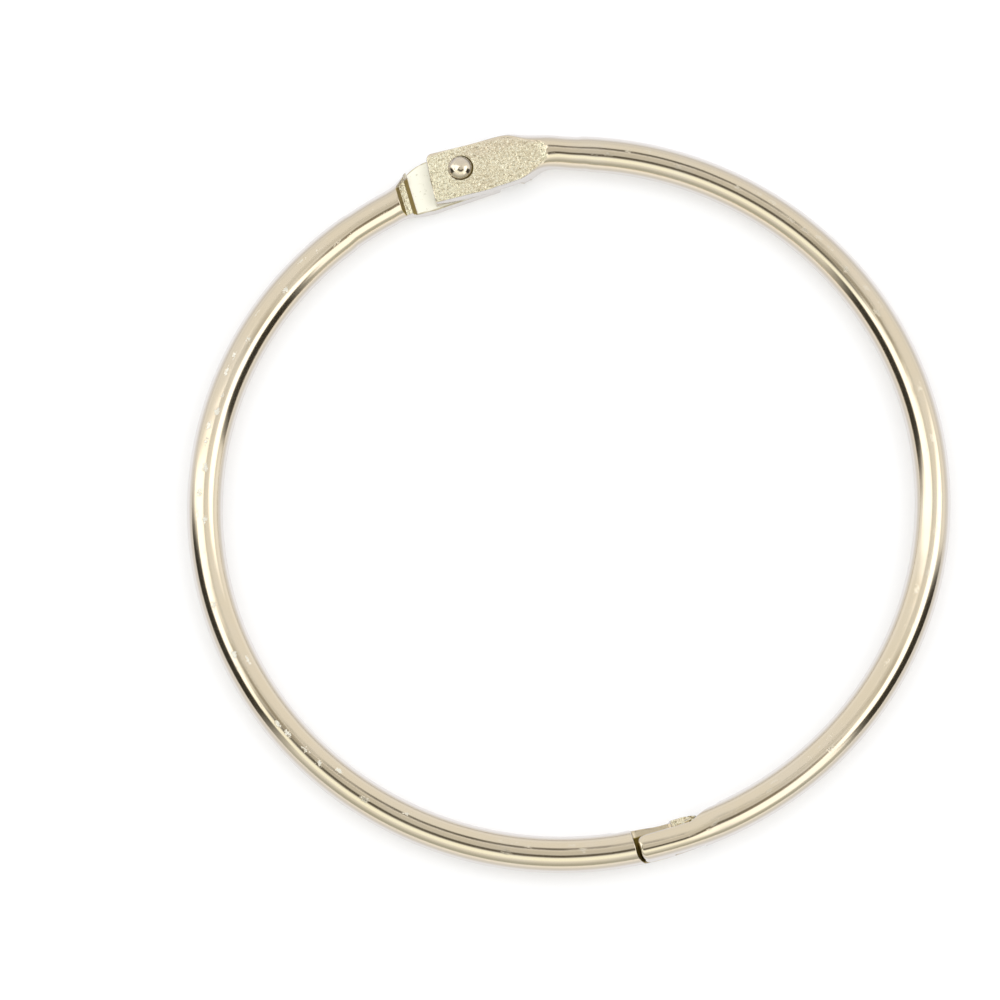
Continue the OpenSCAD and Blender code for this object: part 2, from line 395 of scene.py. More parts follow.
    def nose_curve(self, n):
        """How far a nose or shoulder draws back at its sides: quarter circles that start
        0.85 mm outside and, on the nose, 0.1 mm inside the middle line."""
        t = np.clip(n - 0.85, 0, 0.86)
        return 0.9 - np.sqrt(0.81 - t * t)

    def warp(self, xs, n):
        """True x of a grid point at station xs and distance n outside the middle line: nose
        and shoulder draw back by their curves, the nose on the inner side too."""
        t = np.clip((-0.1 if self.right else -1.0) - n, 0, 0.68)
        inner = 0.7 - np.sqrt(0.49 - t * t)
        nose = ease(-1.6, -2.6, xs)
        return (xs + nose * (self.nose_curve(n) + inner)
                - ease(1.2, 2.6, xs) * ease(6.2, 4.4, xs) * self.nose_curve(n))

    def trim_line(self, xs):
        """Distance of the trimmed inner side from the middle line: constant up to the trim's
        end, then a parabola out to the wire's radius."""
        t = np.clip((xs - self.trim_end) / self.trim_run, 0, 1)
        return self.trim + (self.wire_r + 0.05 - self.trim) * (1 - (1 - t) ** 2)

    def leaf_line(self, out):
        """Distance of the keeper's inner side from the middle line: drawn in by a parabola
        towards its tip, let out again where the wire begins."""
        return 1.56 - 0.10 * np.maximum(out - 1.3, 0) ** 2 + 0.35 * ease(0.3, -3.4, out) ** 2

    def latch_solid(self, xs, n, z):
        """Signed depth of the latch end at station xs: the wire, cut off at the tongue's
        nose, less the space of the other half's tongue. That space lies past the hook face
        and below the low step, or past the shoulder and below the high step. The right tongue
        also loses its trimmed side; the left one keeps the keeper, a rib that stands in the
        space beside the other tongue."""
        x = self.warp(xs, n)
        y = -self.half_span - n
        crown = self.skew * ease(5.0, 1.0, xs) * (1 - (n / self.wire_r) ** 2) if self.right else 0
        body = self.tube(x, y + crown, z)
        body = smooth_max(body, -self.tongue - xs, 0.34)
        low, high = self.gap / 2 - self.tooth, self.gap / 2 + self.tooth
        bare = ease(self.trim, self.trim + 0.25, -n)     # the inner side, free of the tongue
        neck = smooth_max(xs - self.shoulder, z - high, 0.12 + 0.5 * bare)
        hook = xs + self.gap / 2 + (0 if self.right else 0.2) * bare
        neck = np.maximum(neck, -hook)
        away = np.minimum(neck, smooth_max(hook, z - low, 0.05))
        if self.right:
            body = smooth_max(body, -away, 0.10)
            return smooth_max(body, -n - self.trim_line(x), 0.10)
        out = -x                                         # towards the tongue's nose
        body = smooth_max(body, -n - self.leaf_line(out), 0.14)
        side = n + self.gap + np.maximum(self.trim_line(out), self.trim)
        front = out - self.keeper_front + 0.27 - 0.25 * (low - z)
        grain = self.grain(xs * 0.8, n * 0.8 + 4)
        keeper = smooth_max(np.maximum(side, -self.keeper_height + 3 * grain - z), -front, 0.06)
        away = smooth_max(away, -keeper, 0.05)
        return smooth_max(body, -away, 0.10)


def section_rays():
    """Two sets of rays round a section. On the wire they leave one point at even angles. On
    a lug they leave a middle segment: a quarter turn, across the face, half a turn, and so on.
    Returns the angles of both sets and the places on the segment, in columns."""
    j = np.arange(COLUMNS)
    stops = np.array([0, FAN, FAN + FLAT, 3 * FAN + FLAT, 3 * FAN + 2 * FLAT, COLUMNS])
    turn = np.interp(j, stops, np.radians([0, 90, 90, 270, 270, 360]))
    high, low = RIVET_COLUMN, RIVET_COLUMN - FLAT
    place = np.interp(j, stops, [high, high, low, low, high, high])
    return 2 * np.pi * j / COLUMNS, turn, place


def cast(depth, ox, oz, angle):
    """Where rays from (ox, oz) at the given angle leave the solid: the interval from 0 to the
    ray's length is halved until the signed depth changes sign inside a hair's breadth."""
    c, s = np.cos(angle), np.sin(angle)
    near, far = np.zeros_like(angle), np.full_like(angle, RAY_LENGTH)
    for _ in range(SOLVER_STEPS):
        mid = (near + far) / 2
        inside = depth(ox + mid * c, oz + mid * s) < 0
        near, far = np.where(inside, mid, near), np.where(inside, far, mid)
    return ox + near * c, oz + near * s


def latch_rows(h, even):
    """Rows in planes across the X axis, from the tongue's nose to LATCH_END. The rays leave a
    point inside the tongue, beside the keeper on the left half, which moves to the wire's
    middle line past the shoulder. Returns the points and the first station."""
    t = np.linspace(0, np.pi / 2, 9)
    xs = np.concatenate([
        -h.tongue + END_ROUNDING * (1 - np.cos(t)), np.arange(-h.tongue + 0.22, -0.16, 0.075),
        np.linspace(-0.12, 0.1, 12), np.arange(0.16, h.shoulder - 0.1, 0.075),
        np.linspace(h.shoulder - 0.06, h.shoulder + 0.14, 12),
        np.arange(h.shoulder + 0.2, LATCH_END, 0.13)])[:, None]
    back = ease(h.shoulder + 0.1, LATCH_END, xs)
    if h.right:
        cn, cz = 0.35 * (1 - back), 0.85 * (1 - back)
    else:
        beside = -np.minimum(h.trim_line(-xs) + h.gap, h.leaf_line(-xs) - 0.15)
        cn = (beside + 0.6 * ease(0.0, 0.9, xs)) * (1 - back)
        cz = (0.45 + 0.35 * ease(-0.4, 0.0, xs)) * (1 - back)
    # the wire's middle line lies at n = shift
    shift = np.sqrt(h.bend_r ** 2 - (xs - h.bend_x) ** 2) - h.bend_y - h.half_span
    n, z = cast(lambda n, z: h.latch_solid(xs + 0 * n, n, z), cn + shift * back, cz,
                even + 0 * xs)
    return np.stack([h.warp(xs + 0 * n, n), -h.half_span - n, z], -1), xs[0, 0]


def wire_rows(h, even):
    """Rows across the bent wire: planes that turn from the latch's X axis to the bend's own
    radius, and on to the lug's cross line. The rays leave the middle line."""
    a0 = math.pi - math.asin((LATCH_END - h.bend_x) / h.bend_r)
    gx, gy = h.from_lug(LUG_START, float(h.wire_mid(LUG_START)))
    a1 = math.atan2(gx - h.bend_x, gy - h.bend_y)
    a = np.linspace(a0, a1, WIRE_ROWS)[1:-1, None]
    turned = (a + (math.pi - a) * ease(a0 - 0.28, a0, a) + (h.tilt - a) * ease(a1 + 0.28, a1, a))
    px, py = h.bend_x + h.bend_r * np.sin(a), h.bend_y + h.bend_r * np.cos(a)
    n, z = cast(lambda n, z: h.tube(px + n * np.sin(turned), py + n * np.cos(turned), z),
                0 * a, 0 * a, even + 0 * a)
    return np.stack([px + n * np.sin(turned), py + n * np.cos(turned), z], -1)


def lug_stations(h):
    """Places along the lug, from the wire to the free end: close together on the shoulder,
    one grid cell apart round the rivet, and in a sine series over the end's rounding."""
    end = h.end_reach - END_ROUNDING
    first, last = int(5.35 / CELL), int(end / CELL)
    rounding = end + END_ROUNDING * np.sin(np.linspace(0, np.pi / 2, 9))[1:]
    return np.concatenate([
        np.linspace(LUG_START, 9.6, 16, endpoint=False),
        np.linspace(9.6, 7.3, 32, endpoint=False), np.linspace(7.3, 5.4, 62, endpoint=False),
        np.arange(first, -last - 1, -1) * CELL, -rounding])


def lug_rows(h, even, turn, place):
    """Rows in planes across the lug. The rays leave the wire's middle line at first, and a
    middle segment across the lug further on. Returns the points, the stations, and the
    segment at the free end."""
    x = lug_stations(h)[:, None]
    flat = ease(9.5, 5.3, x)                    # 0 on the round wire, 1 on the lug
    middle, reach = h.lug_mid(x), 0.8 * h.lug_half_width(x)
    origin = np.clip((1 - flat) * middle + flat * place * CELL, middle - reach, middle + reach)
    y, z = cast(lambda y, z: h.lug_solid(x + 0 * y, y, z), origin, CORE_Z * ease(9.3, 7.4, x),
                (1 - flat) * even + flat * turn)
    lug = sink_seat(h, np.stack([x + 0 * y, y, z], -1), x[:, 0])
    lug[..., 0], lug[..., 1] = h.from_lug(lug[..., 0], lug[..., 1])
    core = np.stack([*h.from_lug(x[-1], origin[-1]), np.full(COLUMNS, CORE_Z)], -1)
    return lug, x[:, 0], core


def sink_seat(h, lug, x):
    """Draws the grid round the rivet's axis into circles: square loops of cells become
    circles, from the seat's rim through its floor to the bore, on both faces of the lug.
    Past the seat the circles ease back into squares."""
    k = np.arange(-WIDE_CELLS, WIDE_CELLS + 1)
    down, over = np.meshgrid(-k, -k, indexing="ij")     # rows run to -x, columns to -y
    loop = np.maximum(np.abs(down), np.abs(over))
    norm = np.hypot(down, over) + 1e-9
    rim = h.seat + 0.05
    radius = np.interp(loop, [0, BORE_CELLS, 10, 11, 12, 13, SEAT_CELLS],
                       [0, h.bore, h.seat - 0.2, h.seat - 0.04, h.seat - 0.015,
                        h.seat + 0.01, rim])
    square = np.clip((loop - SEAT_CELLS) / (WIDE_CELLS - SEAT_CELLS), 0, 1)
    tx, ty = (np.where(loop > SEAT_CELLS,
                       (1 - square) * rim * side / norm
                       + square * WIDE_CELLS * CELL * side / np.maximum(loop, 1),
                       radius * side / norm) for side in (down, over))
    rows = int(np.argmin(np.abs(x))) + k
    top_z = h.thickness + h.grain(tx, ty)
    sunk = np.interp(loop, [0, 11, 12, 13, SEAT_CELLS], [1, 1, 0.8, 0.2, 0])
    top = np.stack([tx, ty, top_z * (1 - sunk) + (h.thickness - h.seat_depth) * sunk], -1)
    lug[np.ix_(rows, FAN + RIVET_COLUMN + k)] = top
    low = np.stack([tx, -ty, 0 * tx + h.face_gap / 2], -1)
    lug[np.ix_(rows, COLUMNS - FAN - RIVET_COLUMN + k)] = low
    return lug


def half_ring_mesh(h, name):
    """One half ring: rows join into quads, the nose shrinks to a point, the lug's end shrinks
    to its middle segment, and the two loops at the bore join through the lug."""
    even, turn, place = section_rays()
    latch, nose_x = latch_rows(h, even)
    wire = wire_rows(h, even)
    lug, stations, core = lug_rows(h, even, turn, place)
    caps = np.linspace(0, 1, CAP_ROWS + 1)[1:, None, None]
    nose_mid = np.array([0, -h.half_span - (0.3 if h.right else 0.2), 0.8])
    nose = latch[0] * (1 - caps[::-1]) + nose_mid * caps[::-1]
    nose[..., 0] = h.warp(nose_x, -h.half_span - nose[..., 1])
    tail = lug[-1] * (1 - caps) + core * caps
    full = np.concatenate([nose, latch, wire, lug, tail])
    latch_end = len(nose) + len(latch)
    lug_start = latch_end + len(wire)

    index = np.arange(len(full) * COLUMNS).reshape(-1, COLUMNS)
    a, b = index[:-1], index[1:]
    quads = np.stack([a, np.roll(a, -1, 1), np.roll(b, -1, 1), b], -1)
    keep = np.ones(quads.shape[:2], bool)
    row = lug_start + int(np.argmin(np.abs(stations)))
    upper, lower = FAN + RIVET_COLUMN, COLUMNS - FAN - RIVET_COLUMN
    for column in (upper, lower):
        keep[row - BORE_CELLS:row + BORE_CELLS, column - BORE_CELLS:column + BORE_CELLS] = False
    walk = np.arange(-BORE_CELLS, BORE_CELLS)
    edge = np.full_like(walk, BORE_CELLS)
    down = row + np.concatenate([-edge, walk, edge, -walk])
    over = np.concatenate([walk, edge, -walk, -edge])
    top, low = index[down, upper + over], index[down, lower - over]
    bore = np.stack([top, np.roll(top, -1), np.roll(low, -1), low], -1)

    # straightened coordinates: along the wire, and round it as a circle
    step = np.linalg.norm(np.diff(full.mean(1), axis=0), axis=1)
    along = np.concatenate([[0], np.cumsum(step)])[:, None] + np.zeros((1, COLUMNS))
    face_up = 1 if h.right else -1
    straight = np.stack([along, h.wire_r * np.cos(even + 0 * along),
                         face_up * h.wire_r * np.sin(even + 0 * along)], -1)
    masks = finish_masks(h, full, latch_end, lug_start, along)
    points = full.reshape(-1, 3)
    if not h.right:
        points = points * np.array([-1, 1, -1])
    return make_mesh(name, points / MM, np.concatenate([quads[keep], bore]),
                     straight=straight.reshape(-1, 3), **masks)


def near(value, target, width):
    """1 within half the width of the target, eased to 0 at the whole width."""
    return ease(width, 0.5 * width, np.abs(value - target))


def lug_masks(h, full):
    """Finishes at the lug, as products of bands: coined on the upper face and the ledge, the
    smooth mating face, and painted shade on the risers and in the rivet's seat. On the left
    half a thin line of painted shade follows the mating face's outline."""
    x, y = h.to_lug(full[..., 0], full[..., 1])
    z = full[..., 2]
    across = h.shoulder_x(x, y)
    past_strip = y - h.strip_edge(x)
    facet = h.thickness + (np.clip((x - h.tip + h.tip_run) / h.tip_run, 0, 1)
                           * (h.wire_r - h.thickness))
    coined = (near(z, facet, 0.24) * ease(0.08, -0.06, y - h.face_edge(x))
              * ease(h.tip + 0.05, h.tip - 0.15, x)
              * ease(-h.end_reach, -h.end_reach + 0.12, x))
    ledge = (near(z, -h.ledge_drop, 0.2) * ease(h.ledge_end + 0.1, h.ledge_end, across)
             * ease(0.02, -0.08, past_strip)
             * ease(h.ledge_start - 0.1, h.ledge_start, across))
    mating = near(z, h.face_gap / 2, 0.12) * ease(h.flat + 0.01, h.flat - 0.03, across)

    riser1 = -(across - h.flat) / h.slope * h.ledge_drop
    riser2 = -h.ledge_drop - (across - h.ledge_end) / h.slope * h.low_rise
    # painted shade on the shoulder's two risers
    painted_shade = 0.62 * ease(-0.04, -0.22, past_strip) * (
        near(z, riser1, 0.24) * ease(h.flat - 0.03, h.flat + 0.03, across)
        * ease(h.ledge_start + 0.03, h.ledge_start - 0.03, across)
        + 1.3 * near(z, riser2, 0.36) * ease(h.ledge_end - 0.03, h.ledge_end + 0.05, across)
        * ease(h.ledge_end + h.slope, h.ledge_end + h.slope - 0.1, across))
    # painted shade in the rivet's seat, a crescent on its lower right side
    ring = np.hypot(x, y)
    seat = (1.5 * ease(h.seat - 0.3, h.seat - 0.12, ring)
            * ease(h.seat + 0.02, h.seat - 0.01, ring) * ease(-0.9, 0.1, x - 0.8 * y))
    painted_shade = np.maximum(painted_shade, seat * near(z, h.thickness - 0.08, 0.3))
    # a thin line of painted shade along the mating face's outline
    if not h.right:
        place = np.clip(x, -h.end_reach, h.flat)
        beyond = np.abs(y - h.lug_mid(place)) - h.lug_half_width(place)
        painted_shade = np.maximum(painted_shade, 0.38 * mating * ease(-0.17, -0.07, beyond)
                           * ease(0.3, 1.2, x))
    return coined + ledge, mating, painted_shade


def latch_masks(h, full):
    """Finishes at the latch, as products of bands: the keeper's coined rib on the left half,
    and painted shade in the gap at the shoulder, along the neck and on the tongue's nose."""
    x, n, z = full[..., 0], -h.half_span - full[..., 1], full[..., 2]
    # painted shade in the gap at the shoulder, along the neck and on the tongue's nose
    gap = (ease(h.shoulder - 1.6, h.shoulder - 1.4, x)
           * ease(h.shoulder + 0.3, h.shoulder + 0.2, x)
           * ease(1.62, 1.4, np.hypot(z, n)) * ease(-1.15, -1.0, n) * ease(-0.3, -0.1, z))
    neck = (0.2 * ease(-0.6, 0.2, x) * ease(h.shoulder + 0.1, h.shoulder - 0.1, x)
            * ease(-0.9, -1.1, n) * ease(-0.4, 0.0, z) * ease(1.2, 0.8, z))
    nose = 0.8 * ease(-h.tongue + 0.12, -h.tongue + 0.02, x)
    rib = 0.0 if h.right else (
        near(z, -h.keeper_height, 0.24 + 0.5 * ease(-1.6, -2.3, x))
        * ease(-h.trim, -h.trim - 0.1, n) * ease(0.0, -0.3, x))
    return rib, np.maximum(gap + neck, nose)


def finish_masks(h, full, latch_end, lug_start, along):
    """Where each finish lies, from 0 to 1 for each grid point: the lug's masks past its first
    row, the latch's masks up to its last one, and wear along the wire's upper side."""
    row = np.arange(len(full))[:, None]
    on_lug, on_latch = row >= lug_start, row < latch_end
    coined, mating, painted_shade = (mask * on_lug for mask in lug_masks(h, full))
    # the latch's painted shade
    rib, latch_shade = (mask * on_latch for mask in latch_masks(h, full))
    worn = 0.25 + (0 if h.right else 0.75) * ease(26, 40, along) * ease(106, 96, along)
    masks = {"coined": coined + rib, "mating": mating, "painted_shade": np.maximum(painted_shade, latch_shade),
             "worn": worn}
    return {key: np.clip(value, 0, 1).ravel() for key, value in masks.items()}


def drop_pairs(faces):
    """Leaves out faces that lie on one another, the two sides of a wall of no thickness."""
    _, inverse, count = np.unique(np.sort(faces, 1), axis=0, return_inverse=True,
                                  return_counts=True)
    return faces[count[inverse.ravel()] == 1]


def make_mesh(name, points, faces, straight=None, **masks):
    """A closed mesh object from points and four-sided faces. Equal points are welded, faces
    that lose a corner become triangles, points without a face are left out, and normals are
    turned outwards."""
    keys = np.round(points * 1e8).astype(np.int64)
    _, first, inverse = np.unique(keys, axis=0, return_index=True, return_inverse=True)
    faces = inverse.ravel()[faces]
    same = faces == np.roll(faces, -1, 1)
    count = same.sum(1)
    quads = drop_pairs(faces[count == 0])
    lost = np.argmax(same[count == 1], 1)
    pick = (lost[:, None] + 1 + np.arange(3)[None, :]) % 4
    triangles = drop_pairs(np.take_along_axis(faces[count == 1], pick, 1))
    used, index = np.unique(np.concatenate([quads.ravel(), triangles.ravel()]),
                            return_inverse=True)
    quads, triangles = index[:quads.size].reshape(-1, 4), index[quads.size:].reshape(-1, 3)
    first = first[used]
    mesh = bpy.data.meshes.new(name)
    mesh.from_pydata(points[first].tolist(), [], quads.tolist() + triangles.tolist())
    if straight is not None:
        layer = mesh.attributes.new("straight", "FLOAT_VECTOR", "POINT")
        layer.data.foreach_set("vector", (straight[first] / MM).astype(np.float32).ravel())
    for key, mask in masks.items():
        layer = mesh.attributes.new(key, "FLOAT", "POINT")
        layer.data.foreach_set("value", mask[first].astype(np.float32))
    bm = bmesh.new()
    bm.from_mesh(mesh)
    bmesh.ops.recalc_face_normals(bm, faces=bm.faces)
    bm.to_mesh(mesh)
    bm.free()
    mesh.polygons.foreach_set("use_smooth", [True] * len(mesh.polygons))
    mesh.set_sharp_from_angle(angle=math.radians(42))
    mesh.update()
    piece = bpy.data.objects.new(name, mesh)
    bpy.context.scene.collection.objects.link(piece)
    return piece


# ---------------------------------------------------------------- finishes

# heights of the surface patterns, in metres
LINE_HEIGHT, SCUFF_HEIGHT, WAVE_HEIGHT = 0.6e-6, 40e-6, 30e-6
GRIT_HEIGHT, PIT_HEIGHT, HAIR_HEIGHT = 50e-6, 30e-6, 16e-6


class Nodes:
    """Short calls that add nodes to a tree and join them."""

    def __init__(self, tree):
        self.tree = tree
        tree.nodes.clear()

    def add(self, kind, inputs=(), **settings):
        """A node with its settings, and with sockets or values on its inputs."""
        node = self.tree.nodes.new(kind)
        for key, value in settings.items():
            setattr(node, key, value)
        for key, value in dict(inputs).items():
            self.set(node.inputs[key], value)
        return node

    def set(self, socket, value):
        """Links the socket, or sets its value."""
        if isinstance(value, bpy.types.NodeSocket):
            self.tree.links.new(value, socket)
        elif value is not None:
            socket.default_value = value

    def math(self, operation, a, b=None, c=None):
        """A Math node of the given operation."""
        node = self.add("ShaderNodeMath", operation=operation)
        for socket, value in zip(node.inputs, (a, b, c)):
            self.set(socket, value)
        return node.outputs[0]

    def plus(self, *terms):
        """The sum of the terms."""
        return reduce(lambda a, b: self.math("ADD", a, b), terms)

    def times(self, *factors):
        """The product of the factors."""
        return reduce(lambda a, b: self.math("MULTIPLY", a, b), factors)

    def mix(self, share, a, b):
        """a where the share is 0 and b where it is 1, for numbers."""
        return self.add("ShaderNodeMix", {0: share, 2: a, 3: b}, data_type="FLOAT").outputs[0]

    def mix_color(self, share, a, b):
        """a where the share is 0 and b where it is 1, for colours."""
        node = self.add("ShaderNodeMix", {0: share}, data_type="RGBA")
        for socket, value in zip(node.inputs[6:8], (a, b)):
            self.set(socket, value if isinstance(value, bpy.types.NodeSocket)
                     else (*value, 1.0))
        return node.outputs[2]

    def step(self, low, high, value):
        """0 below low, 1 above high, smooth between."""
        node = self.add("ShaderNodeMapRange", {"Value": value, "From Min": low,
                                               "From Max": high},
                        interpolation_type="SMOOTHSTEP")
        return node.outputs[0]

    def axes(self, vector):
        """The vector's parts, by name."""
        return self.add("ShaderNodeSeparateXYZ", {"Vector": vector}).outputs

    def scaled(self, vector, scale, rotation=(0.0, 0.0, 0.0)):
        """The vector scaled along each axis, and turned."""
        return self.add("ShaderNodeMapping", {"Vector": vector, "Scale": scale,
                                              "Rotation": rotation}).outputs[0]

    def noise(self, vector, scale, detail, roughness):
        """Noise of about one bump per 1 / scale metres."""
        node = self.add("ShaderNodeTexNoise", {"Vector": vector, "Scale": scale,
                                               "Detail": detail, "Roughness": roughness})
        return node.outputs[0]


def scuffs(n, track, grit, worn, on_ring):
    """Short slanted marks: cells of a stretched Voronoi pattern with ragged outlines, half of
    them left out by chance. On the half rings they keep to the wire's crown."""
    cells = n.add("ShaderNodeTexVoronoi", {
        "Vector": n.scaled(track, (0.55, 1.0, 0.2), (0.0, 0.0, 0.5)), "Scale": 1100.0,
        "Randomness": 1.0})
    chance = n.add("ShaderNodeSeparateColor", {0: cells.outputs["Color"]}).outputs[0]
    ragged = n.plus(cells.outputs["Distance"], n.times(n.math("SUBTRACT", grit, 0.5), 0.9))
    scuff_and_glint = n.times(n.step(0.27, 0.19, ragged), n.step(0.46, 0.48, chance), worn)
    if on_ring:
        place = n.axes(track)
        scuff_and_glint = n.times(scuff_and_glint, n.step(0.00155, 0.0017, place["Z"]),
                        n.step(0.0009, 0.0005, n.math("ABSOLUTE", place["Y"])))
    return scuff_and_glint


def coined_color(n, coords, clouds):
    """Colour of the coined faces: painted light towards the lug's free end and a painted
    highlight on its tip, painted shade along its outer edge, with cloudy pale patches and fine
    bright and dark specks."""
    where = n.axes(coords)
    # painted light towards the free end, and a painted highlight on the tip's slope
    pale = n.math("MAXIMUM", n.step(0.0010, -0.0020, where["X"]),
                  n.step(0.0080, 0.0084, where["X"]))
    # painted shade along the outer edge
    painted_edge_shade = n.times(n.step(-0.0005, 0.0012, where["X"]),
                   n.step(HINGE.y, HINGE.y + 0.0012, where["Y"]))
    specks = n.noise(coords, 5200.0, 2.0, 0.6)
    color = n.mix_color(pale, (0.875, 0.785, 0.56), (0.965, 0.90, 0.65))
    color = n.mix_color(painted_edge_shade, color, (0.82, 0.71, 0.52))
    color = n.mix_color(n.step(0.45, 0.85, clouds), color, (0.93, 0.85, 0.62))
    color = n.mix_color(n.step(0.50, 0.68, specks), color, (1.0, 0.96, 0.76))
    return n.mix_color(n.step(0.50, 0.34, specks), color, (0.66, 0.57, 0.395))


def nickel(name, finish, on_ring):
    """Nickel plate: warm metal, with painted shade where it turns away from the view and a
    painted pale reflection at grazing angles, whose roughness varies with faint drawn lines and
    handling marks. On the half rings the coined faces are grainy with painted light and shade,
    the mating faces satin, painted shade darkens and roughens the corners and gaps, and the worn
    stretches carry small scuffs whose near-white colour is partly a painted glint."""
    material = bpy.data.materials.new(name)
    material.use_nodes = True
    n = Nodes(material.node_tree)
    coords = n.add("ShaderNodeTexCoord").outputs["Object"]
    clouds = n.noise(coords, 160.0, 3.0, 0.55)
    grit = n.noise(coords, 4200.0, 3.0, 0.65)
    waves = n.noise(coords, 230.0, 1.0, 0.4)
    track, masks = coords, (0.0, 0.0, 0.0, 0.3)
    if on_ring:
        track = n.add("ShaderNodeAttribute", attribute_name="straight").outputs["Vector"]
        masks = [n.add("ShaderNodeAttribute", attribute_name=key).outputs["Fac"]
                 for key in ("coined", "mating", "painted_shade", "worn")]
    coined, mating, painted_shade, worn = masks
    lines = n.noise(n.scaled(track, (0.05, 1.0, 1.0)), 9000.0, 3.0, 0.6)
    scuff_and_glint = scuffs(n, track, grit, worn, on_ring)

    wire_rough = n.plus(finish.wire_roughness - 0.06, n.times(clouds, 0.07),
                        n.times(lines, 0.05), n.times(scuff_and_glint, 0.3))
    coin_rough = n.plus(finish.coin_roughness - 0.08, n.times(grit, 0.16))
    satin_rough = n.plus(0.38, n.times(clouds, 0.12))
    rough = n.mix(mating, n.mix(coined, wire_rough, coin_rough), satin_rough)
    # the places of painted shade are rougher too
    rough = n.mix(painted_shade, rough, 0.5)

    color = n.mix_color(n.step(0.35, 0.75, clouds), tuple(finish.plate), tuple(finish.worn))
    # the scuffs are real wear marks; their near-white colour is partly a painted glint
    color = n.mix_color(scuff_and_glint, color, (1.0, 0.97, 0.85))
    if on_ring:
        color = n.mix_color(coined, color, coined_color(n, coords, clouds))
    spots = n.step(0.62, 0.72, n.noise(coords, 2600.0, 2.0, 0.5))
    satin = n.mix_color(n.times(spots, 0.7), (1.0, 0.98, 0.85), (0.70, 0.68, 0.53))
    color = n.mix_color(mating, color, satin)
    # painted shade where the surface turns away and a painted pale reflection at grazing angles,
    # both set by the viewing angle
    facing = n.add("ShaderNodeLayerWeight", {"Blend": 0.5}).outputs["Facing"]
    for low, high, mask, tone in ((0.16, 0.40, facing, finish.painted_flank_shade),
                                  (0.36, 0.60, facing, finish.edge),
                                  # painted shade, thin and thick
                                  (0.0, 0.6, painted_shade, finish.painted_shade),
                                  (0.6, 1.0, painted_shade, finish.deep_painted_shade)):
        color = n.mix_color(n.step(low, high, mask), color, tuple(tone))

    height = n.plus(n.times(lines, LINE_HEIGHT),
                    n.times(scuff_and_glint, n.math("SUBTRACT", grit, 0.8), SCUFF_HEIGHT),
                    n.times(waves, WAVE_HEIGHT))
    metallic = 1.0
    if on_ring:
        pits = n.noise(coords, 7500.0, 1.0, 0.5)
        hair = n.noise(n.scaled(coords, (1.0, 0.06, 1.0)), 11000.0, 1.0, 0.5)
        height = n.plus(height,
                        n.times(coined, n.plus(n.times(grit, GRIT_HEIGHT),
                                               n.times(pits, PIT_HEIGHT))),
                        n.times(mating, hair, HAIR_HEIGHT))
        # the satin of the mating face is so fine that it scatters light like chalk
        metallic = n.math("SUBTRACT", 1.0, n.times(mating, 0.75))
    bump = n.add("ShaderNodeBump", {"Height": height, "Distance": 1.0, "Strength": 1.0})
    shader = n.add("ShaderNodeBsdfPrincipled", {
        "Base Color": color, "Metallic": metallic, "Roughness": rough,
        "Normal": bump.outputs[0]})
    n.add("ShaderNodeOutputMaterial", {"Surface": shader.outputs[0]})
    return material


# ---------------------------------------------------------------- operators

class BINDER_OT_half_rings(bpy.types.Operator):
    """Make both half rings, with their lugs, shoulders and latch tongues"""
    bl_idname = "binder.half_rings"
    bl_label = "Make half rings"
    bl_options = {"REGISTER", "UNDO"}

    def execute(self, context):
        scene = context.scene
        props = (scene.ring_wire, scene.ring_lug, scene.ring_latch, scene.ring_rivet)
        material = nickel("nickel_wire", scene.ring_finish, True)
        for right, node, body in ((True, "right_half_ring", "right_half"),
                                  (False, "left_half_ring", "left_half")):
            piece = half_ring_mesh(HalfRing(props, right), node + "_dressed")
            piece.data.materials.append(material)
            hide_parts(node)
            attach(piece, body)
        return {"FINISHED"}


def dome_radius(rivet):
    """Radius of the sphere through a head's rim and top: (rim^2 + height^2) / (2 height)."""
    rim, rise = rivet.head * MM / 2, rivet.height * MM
    return (rim ** 2 + rise ** 2) / (2 * rise)


def rivet_profile(rivet, seat_z, upper):
    """Radius and height of the rivet's outline from one head's top to the other's: a sphere's
    arc down to a rounded rim, and the shank between the seats. The upper head is raised by
    upper, so that it ends where the solid's does."""
    rim, rise, sphere = rivet.head * MM / 2, rivet.height * MM, dome_radius(rivet)
    t = np.linspace(0.0, math.asin(rim / sphere), 44)[:-2]
    edge = np.array([[rim - 0.004, 0.055], [rim - 0.02, 0.014], [rim - 0.07, 0.0],
                     [rivet.shank * MM / 2, 0.0]])
    r = np.concatenate([sphere * np.sin(t), edge[:, 0]])
    z = np.concatenate([rise - sphere * (1 - np.cos(t)), edge[:, 1]])
    return np.concatenate([r, r[::-1]]), np.concatenate([seat_z + upper + z, -seat_z - z[::-1]])


def strike(points, normal, centre, distance, k):
    """Flattens the dome by a slanted blow: what stands past the plane at the distance from
    the centre is moved down to it, with an edge rounded over the width k."""
    past = (points - centre) @ normal - distance
    return points - np.outer(past - smooth_min(past, 0.0, k), normal)


